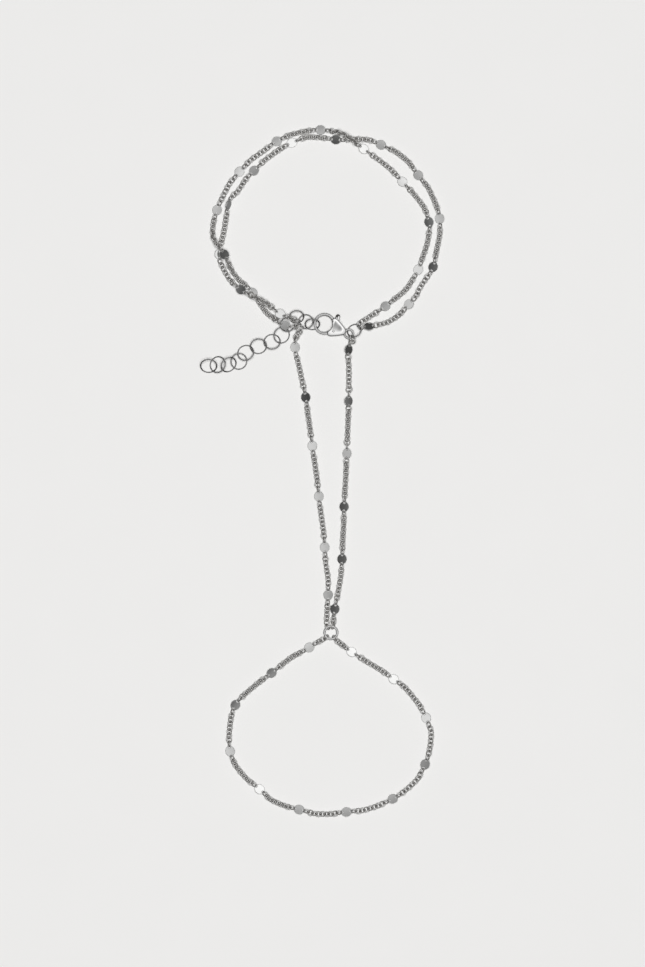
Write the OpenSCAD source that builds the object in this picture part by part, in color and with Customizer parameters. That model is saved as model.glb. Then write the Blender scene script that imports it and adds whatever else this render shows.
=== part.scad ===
// Hand chain bracelet: two wrist strands, two strands over the back of the hand and a palm loop,
// lying flat on a table as it is laid out for show. +Z is up and the table is z = 0.

/* [Fine chains] */
// Thickness of each fine chain as it lies
strand_t = 1.5; // [1.3:0.05:1.6]
// Outside diameter of the round link that ends each chain
link_d = 2.1; // [1.95:0.05:2.2]
// Wire of the round links
link_wire = 0.4; // [0.34:0.01:0.42]

/* [Flat discs] */
// Diameter of each disc
disc_d = 2.6; // [2.2:0.1:2.8]
// Thickness of each disc and its lugs
disc_t = 0.4; // [0.3:0.02:0.44]
// Length of a disc over its two lugs
disc_l = 3.4; // [3.3:0.05:3.6]
// Hole in each lug
lug_hole_d = 0.52; // [0.5:0.01:0.56]
// Metal round each lug hole
lug_wall = 0.2; // [0.14:0.01:0.24]

/* [Rings] */
// Outside diameter of the small rings at the clasp
ring_d = 4.5; // [4.3:0.05:4.7]
// Wire of the small rings
ring_wire = 0.36; // [0.3:0.01:0.38]
// Outside diameter of the extender's rings
extender_d = 5; // [4.9:0.05:5.2]
// Wire of the extender's rings
extender_wire = 0.34; // [0.28:0.01:0.36]
// Outside diameter of the ring that joins the hand strands to the palm loop
palm_ring_d = 4.34; // [4.2:0.02:4.6]
// Wire of that ring
palm_ring_wire = 0.64; // [0.5:0.02:0.66]

/* [Clasp] */
// Outside diameter of the clasp's eye
eye_d = 3.1; // [2.9:0.05:3.3]
// Wire of the eye
eye_wire = 0.62; // [0.5:0.02:0.66]
// Outside diameter of the claw
claw_d = 6.3; // [6.1:0.05:6.5]
// Width of the claw's band
claw_band = 0.8; // [0.7:0.02:0.9]
// Height of the claw's band
claw_h = 1.2; // [1:0.05:1.4]
// From the middle of the eye to the middle of the claw
claw_reach = 7.65; // [7.5:0.05:7.8]
// Thickness of the clasp's shell
shell_t = 2.5; // [2.3:0.05:2.6]
// Thickness of the lever
lever_t = 0.9; // [0.7:0.05:1]
// Gap between the lever and each side of its slot
slot_gap = 0.1; // [0.06:0.01:0.15]
// Diameter of the rivet that the lever turns on
rivet_d = 0.7; // [0.6:0.02:0.8]
// Radial clearance of the lever on its rivet
lever_fit = 0.05; // [0.03:0.01:0.08]
// Radial clearance of the rivet in the shell
rivet_fit = 0.01; // [0.01:0.005:0.02]

/* [Layout] */
// Bearing of the clasp, from its eye to its claw
clasp_bearing = 158; // [156:0.5:160]
// Gap between an end link and the ring that it hooks on
hook_gap = 0.11; // [0.09:0.01:0.14]
// Gap between the thick palm ring and the links on it
palm_hook_gap = 0.2; // [0.16:0.01:0.24]
// Gap between a chain and the lug or link that it runs up to
seat_gap = 0.12; // [0.1:0.01:0.2]

/* [Hidden] */
EXTENDER_RINGS = 9;
$fn = 48;

// Columns of a chain's route: place on the table and lift above rest, and on a disc its roll, which
// raises its left edge along the chain, and its pitch, which raises its front
X = 0;
Y = 1;
LIFT = 2;
ROLL = 3;
PITCH = 4;

// Routes of the chains, a row for each chosen point. A row with a roll and a pitch is a disc.
routes = [
    // Outer wrist strand, from the eye ring round to the junction ring
    [
        [13.5, 42.05, 0.46, -33, -9], [16.3, 42.4, 0], [19.6, 43.6, 0], [23, 45.8, 0],
        [25.1, 48.5, 0.2, -18, 0], [27.6, 50.9, 0], [28.4, 53.4, 0], [30.2, 56.1, 0],
        [32.1, 59.3, 0, 3, 0], [32.9, 63.4, 0], [34, 68.3, 0],
        [34, 73.3, 0, -8, 2], [33, 77.4, 0], [30.8, 82.1, 0],
        [27.8, 85.9, 0, 5, 0], [24.9, 89.8, 0], [21.2, 92.7, 0],
        [17, 94.7, 0, 5, -1], [13.3, 96.3, 0], [9.2, 96.4, 0], [6.3, 96, 0],
        [3.9, 96.2, 0, 3, 0], [-0.4, 96.8, 0], [-4.7, 96.9, 0],
        [-8.8, 95.3, 0, -11, 2], [-12.6, 93.4, 0], [-16.6, 90.3, 0],
        [-19.8, 87.2, 0, 5, 0], [-22.6, 84.4, 0], [-24.6, 81.1, 0], [-26.3, 79.5, 0.1],
        [-27.2, 77.3, 0.35, -62, 0], [-27.8, 73.8, 0], [-28.6, 69.2, 0], [-29.2, 66.6, 0],
        [-29.9, 63, 0, -18, 0], [-29.1, 59.3, 0], [-26.9, 55.7, 0],
        [-23.6, 52.7, 0.75, 3, 4], [-20.8, 51, 1.6], [-19.1, 50.1, 1.75], [-17.3, 49.2, 1.45],
        [-14.9, 47.8, 0.6],
        [-12.2, 45.7, 0.85, -11, 10], [-9.4, 44.4, 1.75],
    ],
    // Inner wrist strand, the same way round
    [
        [12.6, 44.1, 0], [15.5, 46, 0],
        [18.3, 47.9, 0, 6, 0], [21.2, 50.3, 0], [24.1, 52.6, 0], [26.4, 55.5, 0],
        [27.8, 58.5, 0, -10, 2], [29, 61.6, 0], [30.4, 66, 0], [31.3, 69.5, 0],
        [30.9, 72.3, 0, 3, 0], [29.6, 76.4, 0], [26.4, 80.6, 0],
        [23.2, 84, 0, 8, 0], [19.6, 87.8, 0], [15.6, 90.9, 0],
        [12, 93.5, 0.3, 11, 10], [8.3, 96.3, 1.9], [5.6, 97.9, 1.4], [2.7, 98.6, 0.5],
        [-0.5, 99, 0, -5, 0], [-4.7, 98.7, 0], [-8.9, 97.7, 0],
        [-13.2, 95.7, 0, -5, 0], [-16.8, 93.1, 0], [-20.7, 90.3, 0],
        [-24, 86.9, 0, -8, 1], [-26.9, 83.4, 0], [-29.4, 79, 0],
        [-30.5, 75.8, 0, 7, 0], [-31.5, 72.4, 0], [-31.8, 69.5, 0.3], [-31.3, 67.1, 1.2], [-30.1, 65.5, 2],
        [-28.4, 62.9, 1.25, -3, -4], [-26.8, 59.9, 0], [-24.9, 56.5, 0], [-22.3, 53.6, 0],
        [-20.2, 51.8, 0, 8, -6], [-18.8, 49, 0], [-16.1, 46.4, 0], [-14.2, 45, 0.2],
        [-10.8, 42.4, 1.4, -6, 5],
    ],
    // Left hand strand, from the junction ring down to the palm ring
    [
        [-7.3, 40.1, 0.45], [-7.9, 38.9, 0.1],
        [-7.9, 36, 0, 8, 0], [-6.9, 31.2, 0], [-5.8, 26.1, 0],
        [-4.8, 21.5, 0, 3, 0], [-4.2, 16.8, 0], [-3.5, 12, 0],
        [-2.9, 7.4, 0, 9, 0], [-2.2, 2.6, 0], [-1.5, -2.3, 0],
        [-1, -7.2, 0, 8, 0], [-0.4, -12, 0], [0.3, -17, 0],
        [0.7, -22, 0, 8, 0], [1, -26.5, 0], [1.7, -31.2, 0],
        [1.7, -35.8, 0, 6, 0], [1.4, -40.5, 0],
    ],
    // Right hand strand, from the eye ring down to the palm ring
    [
        [7.6, 35.3, 0.4, -36, 0], [7.7, 30.4, 0], [7.7, 25.4, 0],
        [7.6, 20.4, 0.25, -32, 0], [7.5, 15.4, 0], [7.3, 10.3, 0],
        [7.1, 5.2, 0.2, 26, 0], [6.9, 0.1, 0], [6.6, -5.1, 0],
        [6.3, -10.2, 0, -3, 0], [6.2, -15.2, 0], [5.9, -20.3, 0],
        [5.7, -25.4, 0, -4, 0], [5.4, -30.2, 0], [4.6, -34.9, 0],
        [3.6, -39.9, 0, -3, 0], [3.2, -42.5, 0],
    ],
    // Palm loop, from the palm ring round and back to it
    [
        [-1.4, -49.1, 0],
        [-3.8, -51, 0, 8, 0], [-6.6, -52.6, 0], [-8.9, -53.9, 0], [-11.7, -56, 0],
        [-14.7, -58.4, 0, -4, 0], [-18.2, -61, 0], [-22, -64.2, 0],
        [-25.2, -67.7, 0, -4, 0], [-26.5, -71.8, 0], [-27, -76.4, 0],
        [-26.7, -81.1, 0, 8, 0], [-25, -85.4, 0], [-21.7, -89.3, 0],
        [-18.2, -92.1, 0, -11, 1], [-15, -95.1, 0], [-10.8, -97.1, 0],
        [-6.7, -98, 0, -7, 0], [-2.3, -99.2, 0], [2.5, -99.3, 0],
        [7, -98.7, 0, -7, 0], [11.5, -98.3, 0], [16.2, -96.9, 0],
        [20.4, -94.9, 0, -5, 0], [24, -92.7, 0], [27.5, -89.3, 0],
        [29.8, -84.9, 0.15, -5, 0], [31.2, -80.9, 0], [31.6, -75.8, 0],
        [30.1, -71.4, 0, -11, 1], [27.7, -67.1, 0], [24, -62.6, 0],
        [20.7, -60.2, 0, 11, -2], [16.7, -57.4, 0], [12.5, -54.9, 0],
        [8.5, -52.3, 0, 11, 0], [5.7, -50.6, 0],
    ],
];
WRIST_OUTER = 0;
WRIST_INNER = 1;
HAND_LEFT = 2;
HAND_RIGHT = 3;
PALM = 4;

// Where the clasp's eye and the palm ring lie
eye_place = [7.7, 39.9];
palm_place = [2.5, -46.7];

// Mean radii of the round wire
link_r = (link_d - link_wire) / 2;
ring_r = (ring_d - ring_wire) / 2;
extender_r = (extender_d - extender_wire) / 2;
palm_ring_r = (palm_ring_d - palm_ring_wire) / 2;
eye_r = (eye_d - eye_wire) / 2;
claw_r = (claw_d - claw_band) / 2;

// Heights above the table: a chain on its rolled links, and a disc between two upright links
strand_rest = strand_t / 2;
disc_rest = link_d / 2;
clasp_rest = shell_t / 2 + 0.04 * shell_t;

function unit(v) = v / norm(v);
function flat(v) = [v.x, v.y];
function spin(v, a) = [v.x * cos(a) - v.y * sin(a), v.x * sin(a) + v.y * cos(a), v.z];
function tip(v, a) = [v.x, v.y * cos(a) - v.z * sin(a), v.y * sin(a) + v.z * cos(a)];

// A ring that lies in the pile: middle, turn about Z, tilt about its turned X axis, mean radius, wire
AT = 0;
TURN = 1;
TILT = 2;
RADIUS = 3;
WIRE = 4;
function along(ring, v) = spin(tip(v, ring[TILT]), ring[TURN]);

// Rings from the claw to the end of the extender. A row gives the step from the ring before it, in
// mean radii, the lift clear of the table, in mean radii, and the turn and tilt.
STEP_X = 0;
STEP_Y = 1;
RISE = 2;
ROW_TURN = 3;
ROW_TILT = 4;
pile_rows = [
    [-0.46, -0.54, 0.02, 0, 42.5],
    [-0.91, 0.36, 0.29, 5, -15],
    [-1.3, 0.68, 0.02, 5.5, 32],
    [-1.3, -1.1, 0.13, 1, -18],
    [-0.74, -1.38, 0.05, 52, 23],
    [-1.19, -0.82, 0.02, 10, -25],
    [-1.7, -0.56, 0.05, 12.5, 26],
    [-1.59, -0.82, 0.02, 28, -25],
    [-0.84, -1.05, 0.07, 45, 16.5],
    [-1.28, -0.41, 0.02, 40, 37.5],
    [-1.35, 0, 0.02, 60, -24],
    [-1.13, -0.16, 0.02, 0, 36],
];
CLASP_END = 0;
JUNCTION = 1;
EXTENDER_LINK = 2;
EXTENDER = 3;
// The extender's first ring is as small as the clasp's rings
function row_radius(i) = i > EXTENDER ? extender_r : ring_r;
function row_wire(i) = i > EXTENDER ? extender_wire : ring_wire;
function row_z(i) = row_radius(i) * (sin(abs(pile_rows[i][ROW_TILT])) + pile_rows[i][RISE]) + row_wire(i) / 2;
// The middle of the claw's far end, which the first ring hangs on
claw_end = eye_place + (claw_reach + claw_r) * [cos(clasp_bearing), sin(clasp_bearing)];
function row_unit(i) = i == 0 ? ring_r : (row_radius(i) + row_radius(i - 1)) / 2;
function row_step(i) = row_unit(i) * [pile_rows[i][STEP_X], pile_rows[i][STEP_Y]];
// All the steps up to ring i added up, as a row of ones times their list
function row_place(i) = claw_end + [for (k = [0:i]) 1] * [for (k = [0:i]) row_step(k)];
function pile_ring(i) = [concat(row_place(i), row_z(i)), pile_rows[i][ROW_TURN], pile_rows[i][ROW_TILT],
    row_radius(i), row_wire(i)];

// The ring in the eye, beside the eye by shares of their mean radii
eye_ring_step = [0.95, 0.54];
eye_ring_turn = 37;
eye_ring_tilt = -33.5;
eye_ring_rise = 0.04;
eye_ring_at = [concat(eye_place + eye_ring_step * (eye_r + ring_r) / 2,
    ring_r * (sin(abs(eye_ring_tilt)) + eye_ring_rise) + ring_wire / 2),
    eye_ring_turn, eye_ring_tilt, ring_r, ring_wire];

// The palm ring lies flat, as high as the rolled links through it hold it
palm_roll = 35;
palm_ring_at = [concat(palm_place, link_r * cos(palm_roll) + link_wire / 2), 0, 0, palm_ring_r, palm_ring_wire];

// Hooks: the ring, the angle round it, the roll of the link and its gap, for each chain's start and end
HOOK_RING = 0;
HOOK_ANGLE = 1;
HOOK_ROLL = 2;
HOOK_GAP = 3;
hooks = [
    [[eye_ring_at, -17.5, 0, hook_gap], [pile_ring(JUNCTION), 165.5, 24, hook_gap]],
    [[eye_ring_at, 21, 3, hook_gap], [pile_ring(JUNCTION), 202, 28, hook_gap]],
    [[pile_ring(JUNCTION), 234, 10, hook_gap], [palm_ring_at, 120, palm_roll, palm_hook_gap]],
    [[eye_ring_at, 223, -28, hook_gap], [palm_ring_at, 74, palm_roll, palm_hook_gap]],
    [[palm_ring_at, 225, palm_roll, palm_hook_gap], [palm_ring_at, 304, palm_roll, palm_hook_gap]],
];
START = 0;
END = 1;

// The link on a hook: its middle, and the axis that it is round about
function hook_out(h) = along(h[HOOK_RING], [cos(h[HOOK_ANGLE]), sin(h[HOOK_ANGLE]), 0]);
function hook_slack(h) = link_r - link_wire / 2 - h[HOOK_RING][WIRE] / 2 - h[HOOK_GAP];
function hook_place(h) = h[HOOK_RING][AT] + hook_out(h) * (h[HOOK_RING][RADIUS] + hook_slack(h));
function hook_side(h) = along(h[HOOK_RING], [
    -sin(h[HOOK_ANGLE]) * sin(h[HOOK_ROLL]), cos(h[HOOK_ANGLE]) * sin(h[HOOK_ROLL]), cos(h[HOOK_ROLL])]);
function hook_axis(h) = cross(hook_out(h), hook_side(h));

// A chain's whole path: its first link, the points of its route and its last link
function is_disc(row) = len(row) > ROLL;
function row_point(row) = [row[X], row[Y], (is_disc(row) ? disc_rest : strand_rest) + row[LIFT]];
function path(chain) = concat([hook_place(hooks[chain][START])], [for (row = routes[chain]) row_point(row)],
    [hook_place(hooks[chain][END])]);
// The points of a path where the chain passes into a link or a disc
function stops(chain) = concat([0], [for (i = [0:len(routes[chain]) - 1]) if (is_disc(routes[chain][i])) i + 1],
    [len(routes[chain]) + 1]);

// The direction that a disc's lugs point in, from the path beside it and its pitch
function heading(p, i) = let (v = unit(flat(p[i + 1] - p[i])) + unit(flat(p[i] - p[i - 1]))) atan2(v.y, v.x);
function disc_run(p, chain, i) = let (pitch = routes[chain][i - 1][PITCH])
    spin([cos(pitch), 0, sin(pitch)], heading(p, i));
// The direction of the chain as it leaves stop i towards its end (1) or its start (-1)
function stop_run(p, chain, i, way) = i == 0 || i == len(p) - 1 ? unit(p[i + way] - p[i])
    : way * disc_run(p, chain, i);

lug_r = lug_hole_d / 2 + lug_wall;
lug_x = disc_l / 2 - lug_r;
// How far a chain stays from the middle of a link or a disc, and how long its rounded end is
link_exit = link_d / 2 + seat_gap;
disc_exit = disc_l / 2 + seat_gap;
function stop_exit(p, i) = i == 0 || i == len(p) - 1 ? link_exit : disc_exit;
nose_l = 0.45 * strand_t;
nose_share = 0.5;
SIDES = 8;

// The stations of the chain between stops a and b, each a point and a share of the full thickness
function stretch(p, chain, a, b) = let (
        from = stop_exit(p, a),
        to = stop_exit(p, b),
        nose = min(nose_l, (norm(p[b] - p[a]) - from - to) / 3),
        out_a = stop_run(p, chain, a, 1),
        out_b = stop_run(p, chain, b, -1),
        full = nose_share + (1 - nose_share) * nose / nose_l
    ) concat(
        [[p[a] + from * out_a, nose_share], [p[a] + (from + nose) * out_a, full]],
        b > a + 1 ? [for (i = [a + 1:b - 1]) [p[i], full]] : [],
        [[p[b] + (to + nose) * out_b, full], [p[b] + to * out_b, nose_share]]
    );
function stretch_fits(p, a, b) = norm(p[b] - p[a]) > stop_exit(p, a) + stop_exit(p, b) + 2 * seat_gap;

// Direction of the strand at station i, which its section is square to
function leg(s, i) = unit(s[i + 1][0] - s[i][0]);
function bearing(s, i) = i == 0 ? leg(s, 0) : i == len(s) - 1 ? leg(s, i - 1) : unit(leg(s, i - 1) + leg(s, i));
// Section at a station: eight corners with a flat side down
function section(point, run, radius) = let (side = unit(cross(run, [0, 0, 1])), up = cross(side, run))
    [for (k = [0:SIDES - 1]) let (a = (k + 0.5) * 360 / SIDES)
        point + radius / cos(180 / SIDES) * (cos(a) * side + sin(a) * up)];

module strand(stations) {
    n = len(stations);
    points = [for (i = [0:n - 1])
        each section(stations[i][0], bearing(stations, i), strand_t / 2 * stations[i][1])];
    sides = [for (i = [0:n - 2], k = [0:SIDES - 1]) let (a = i * SIDES + k, b = i * SIDES + (k + 1) % SIDES)
        each [[a, b, b + SIDES], [a, b + SIDES, a + SIDES]]];
    caps = [[for (k = [SIDES - 1:-1:0]) k], [for (k = [0:SIDES - 1]) (n - 1) * SIDES + k]];
    polyhedron(points, concat(sides, caps));
}

// Round wire bent to a ring about Z
module wire_ring(mean_r, wire) rotate_extrude() translate([mean_r, 0]) circle(d = wire);

// Turns Z to the given direction
module facing(v) rotate([0, acos(v.z / norm(v)), atan2(v.y, v.x)]) children();

module pile_wire(ring)
    color("silver") translate(ring[AT]) rotate([0, 0, ring[TURN]]) rotate([ring[TILT], 0, 0])
        wire_ring(ring[RADIUS], ring[WIRE]);

// The fine chain between its links and discs, with the links that hook it on at both ends
module chain(chain) {
    p = path(chain);
    at = stops(chain);
    color("darkgray") {
        for (i = [0:len(at) - 2])
            if (stretch_fits(p, at[i], at[i + 1])) strand(stretch(p, chain, at[i], at[i + 1]));
        for (hook = hooks[chain])
            translate(hook_place(hook)) facing(hook_axis(hook)) wire_ring(link_r, link_wire);
    }
}

// Flat bar that joins two round ends smoothly, lying along X
module taper(r1, x, r2) {
    a = acos((r1 - r2) / abs(x));
    s = sign(x);
    polygon([[s * r1 * cos(a), r1 * sin(a)], [x + s * r2 * cos(a), r2 * sin(a)],
        [x + s * r2 * cos(a), -r2 * sin(a)], [s * r1 * cos(a), -r1 * sin(a)]]);
}

// One disc with a lug at each end along X
module disc() linear_extrude(disc_t, center = true) difference() {
    union() {
        circle(d = disc_d);
        for (s = [-1, 1]) {
            translate([s * lug_x, 0]) circle(lug_r);
            taper(disc_d / 2, s * lug_x, lug_r);
        }
    }
    for (s = [-1, 1]) translate([s * lug_x, 0]) circle(d = lug_hole_d);
}

module discs(chain) {
    p = path(chain);
    color("gainsboro") for (i = [1:len(p) - 2]) if (is_disc(routes[chain][i - 1]))
        translate(p[i]) rotate([routes[chain][i - 1][ROLL], -routes[chain][i - 1][PITCH], heading(p, i)]) disc();
}

// The clasp's own frame: the eye at the origin, the claw along +X
module at_clasp() color("silver") translate(concat(eye_place, clasp_rest)) rotate([0, 0, clasp_bearing]) children();

slot_h = lever_t + 2 * slot_gap;
slot_from = 0.34 * claw_reach;
slot_to = 0.74 * claw_reach;
claw_root = -130;
claw_tip = 102;
gate_tip = 86;
gate_root = 128;
// The gate's end and the claw's tip part along a circle of this radius about the pivot
gate_swing = 3.4;
shell_r = shell_t / 2;
// Swellings of the shell, from the eye's neck to the claw's root: place, and radius as a share of the shell's
shell_swells = [
    [[0.21 * claw_reach, 0], 0.68],
    [[0.47 * claw_reach, 0.125 * claw_reach], 1],
    [[claw_reach - 0.39 * claw_d, 0.243 * claw_d], 1],
];
pivot = [0.58 * claw_reach, 0.13 * claw_reach];
boss_r = rivet_d / 2 + 0.5;
nub_r = 0.62;
nub_tip = [0.63 * claw_reach, -0.455 * claw_reach];
gate_end = [claw_reach, 0] + claw_r * [cos(gate_root), sin(gate_root)];

module band_section(height) {
    square([claw_band, height - claw_band], center = true);
    for (s = [-1, 1]) translate([0, s * (height - claw_band) / 2]) circle(d = claw_band);
}

module claw_arc(from, to, height)
    translate([claw_reach, 0, 0]) rotate_extrude(start = from, angle = to - from) translate([claw_r, 0])
        band_section(height);

module shell() hull() for (swell = shell_swells, s = [-1, 1])
    translate([swell[0].x, s * swell[0].y, 0]) sphere(shell_r * swell[1], $fn = 24);

// What the gate sweeps as it opens
module gate_zone(radius) translate(concat(pivot, -shell_t)) rotate_extrude(angle = 90) square([radius, 2 * shell_t]);

module clasp_body() at_clasp() difference() {
    union() {
        wire_ring(eye_r, eye_wire);
        difference() {
            shell();
            translate([0, 0, -shell_t]) cylinder(h = 2 * shell_t, r = eye_r);
            translate([claw_reach, 0, -shell_t]) cylinder(h = 2 * shell_t, r = claw_r - claw_band / 2);
            translate([slot_from, -claw_reach, -slot_h / 2]) cube([slot_to - slot_from, 2 * claw_reach, slot_h]);
            translate([slot_from, 0, -slot_h / 2]) cube([claw_reach, claw_reach, slot_h]);
        }
        difference() {
            claw_arc(claw_root, claw_tip, claw_h);
            gate_zone(gate_swing + slot_gap);
        }
    }
    translate(concat(pivot, -shell_t)) cylinder(h = 2 * shell_t, r = rivet_d / 2 + rivet_fit);
}

// Flat bar with round ends from p, radius r1, to q, radius r2
module arm(p, r1, q, r2) {
    translate(p) circle(r1);
    translate(q) circle(r2);
    translate(p) rotate(atan2(q.y - p.y, q.x - p.x)) taper(r1, norm(q - p), r2);
}

module clasp_lever() at_clasp() difference() {
    union() {
        intersection() {
            claw_arc(gate_tip, gate_root, claw_h);
            gate_zone(gate_swing);
            translate([0, 0, -lever_t / 2]) cube([2 * claw_reach, claw_reach, lever_t]);
        }
        translate([0, 0, -lever_t / 2]) linear_extrude(lever_t) {
            arm(pivot, boss_r, gate_end, claw_band / 2);
            arm(pivot, boss_r, nub_tip, nub_r);
        }
    }
    translate(concat(pivot, -lever_t)) cylinder(h = 2 * lever_t, r = rivet_d / 2 + lever_fit);
}

module clasp_rivet() at_clasp() translate(concat(pivot, 0)) cylinder(h = 0.92 * shell_t, d = rivet_d, center = true);

chain(WRIST_OUTER);  // wrist_chain_outer
chain(WRIST_INNER);  // wrist_chain_inner
chain(HAND_LEFT);  // hand_chain_left
chain(HAND_RIGHT);  // hand_chain_right
chain(PALM);  // palm_chain
discs(WRIST_OUTER);  // wrist_discs_outer
discs(WRIST_INNER);  // wrist_discs_inner
discs(HAND_LEFT);  // hand_discs_left
discs(HAND_RIGHT);  // hand_discs_right
discs(PALM);  // palm_discs
clasp_body();
clasp_lever();
clasp_rivet();
pile_wire(pile_ring(CLASP_END));  // clasp_end_ring
pile_wire(pile_ring(JUNCTION));  // junction_ring
pile_wire(pile_ring(EXTENDER_LINK));  // extender_link
for (i = [0:EXTENDER_RINGS - 1])
    pile_wire(pile_ring(EXTENDER + i));
pile_wire(eye_ring_at);  // eye_ring
pile_wire(palm_ring_at);  // palm_ring
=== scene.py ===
import math
import random

import bmesh
import bpy
import numpy as np
from mathutils import Matrix, Vector, geometry


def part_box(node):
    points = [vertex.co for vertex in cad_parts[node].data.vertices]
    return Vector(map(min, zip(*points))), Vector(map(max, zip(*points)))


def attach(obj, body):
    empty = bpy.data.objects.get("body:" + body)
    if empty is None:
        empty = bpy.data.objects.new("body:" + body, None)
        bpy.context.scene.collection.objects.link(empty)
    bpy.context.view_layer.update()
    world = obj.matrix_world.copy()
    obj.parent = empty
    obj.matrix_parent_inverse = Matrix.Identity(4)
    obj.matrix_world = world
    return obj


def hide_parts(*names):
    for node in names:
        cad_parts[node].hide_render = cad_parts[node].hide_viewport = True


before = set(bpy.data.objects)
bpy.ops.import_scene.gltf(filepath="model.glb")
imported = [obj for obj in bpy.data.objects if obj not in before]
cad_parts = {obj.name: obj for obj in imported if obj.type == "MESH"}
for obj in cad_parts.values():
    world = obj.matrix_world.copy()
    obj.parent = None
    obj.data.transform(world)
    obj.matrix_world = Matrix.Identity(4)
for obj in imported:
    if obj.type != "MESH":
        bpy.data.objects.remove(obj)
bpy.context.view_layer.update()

up = Vector((0, 0, 1))
print("frame loaded:", len(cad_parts), "nodes")

# Camera straight above the table, far enough off for the picture to have almost no perspective
photo = {
    "height": 967,             # pixels
    "pixel": 0.00029,          # metres on the table for each pixel
    "middle": (0.00006, -0.00348),
    "distance": 3.0,
}


def addCamera():
    lens = bpy.data.cameras.new("photoCamera")
    lens.sensor_fit = "AUTO"
    lens.sensor_width = 36
    lens.lens = lens.sensor_width * photo["distance"] / (photo["height"] * photo["pixel"])
    lens.clip_end = 20
    camera = bpy.data.objects.new("photoCamera", lens)
    camera.location = (*photo["middle"], photo["distance"])
    bpy.context.scene.collection.objects.link(camera)
    bpy.context.scene.camera = camera


addCamera()


# Helpers for node trees and meshes

def addNode(tree, kind, inputs=None, **settings):
    node = tree.nodes.new(kind)
    for name, value in settings.items():
        setattr(node, name, value)
    for name, value in (inputs or {}).items():
        if isinstance(value, bpy.types.NodeSocket):
            tree.links.new(value, node.inputs[name])
        else:
            node.inputs[name].default_value = value
    return node


def addSockets(tree, way, sockets):
    for name, kind, value in sockets:
        socket = tree.interface.new_socket(name, in_out=way, socket_type="NodeSocket" + kind)
        if value is not None:
            socket.default_value = value


def meshObject(name, points, faces=()):
    mesh = bpy.data.meshes.new(name)
    mesh.from_pydata([tuple(p) for p in points], [], faces)
    made = bpy.data.objects.new(name, mesh)
    bpy.context.scene.collection.objects.link(made)
    return made


def madeFrom(name, mesh):  # a new piece from a bmesh, which is freed
    made = meshObject(name, [])
    mesh.to_mesh(made.data)
    mesh.free()
    return made


def settled(name, source):  # the source with its modifiers done, as a plain mesh
    depsgraph = bpy.context.evaluated_depsgraph_get()
    mesh = bpy.data.meshes.new_from_object(source.evaluated_get(depsgraph), depsgraph=depsgraph)
    mesh.name = name
    bpy.data.objects.remove(source)
    made = bpy.data.objects.new(name, mesh)
    bpy.context.scene.collection.objects.link(made)
    return made


def placed(name, spots, tree, values):  # runs a placing tree on spots, each a place, a run and an axis
    places = meshObject(name + "Places", [spot["place"] for spot in spots])
    for label in ("run", "axis"):
        found = places.data.attributes.new(label, "FLOAT_VECTOR", "POINT")
        found.data.foreach_set("vector", [v for spot in spots for v in spot[label]])
    slack = places.data.attributes.new("slack", "FLOAT", "POINT")
    slack.data.foreach_set("value", [spot.get("slack", 0) for spot in spots])
    modifier = places.modifiers.new(tree.name, "NODES")
    modifier.node_group = tree
    for item in tree.interface.items_tree:
        if item.in_out == "INPUT" and item.name in values:
            modifier[item.identifier] = values[item.name]
    return settled(name, places)


def dress(piece, body, node):
    piece.data.validate()
    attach(piece, body)
    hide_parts(node)


# What the frame tells about its rings, links and discs

def looseParts(node):  # corners of each separate solid of a node
    mesh = bmesh.new()
    mesh.from_mesh(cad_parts[node].data)
    bmesh.ops.remove_doubles(mesh, verts=mesh.verts, dist=1e-7)
    parts, seen = [], set()
    for start in mesh.verts:
        if start in seen:
            continue
        seen.add(start)
        part, waiting = [], [start]
        while waiting:
            corner = waiting.pop()
            part.append(corner.co[:])
            for edge in corner.link_edges:
                other = edge.other_vert(corner)
                if other not in seen:
                    seen.add(other)
                    waiting.append(other)
        parts.append(np.array(part))
    mesh.free()
    return parts


def lying(part):  # middle, long direction, flat side's direction and extents of a solid
    middle = (part.max(0) + part.min(0)) / 2
    axes = np.linalg.svd(part - part.mean(0), full_matrices=False)[2]
    spans = (part - middle) @ axes.T
    middle = middle + ((spans.max(0) + spans.min(0)) / 2) @ axes
    flat = Vector(axes[2])
    return {"place": Vector(middle), "run": Vector(axes[0]), "axis": flat if flat.z > 0 else -flat,
            "size": spans.max(0) - spans.min(0)}


# Finishes. Every metal is the same plated silver, worn in its own way, with painted shade besides: the rings'
# tone is painted darker, and the clasp's edges get painted dark lines.

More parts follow.
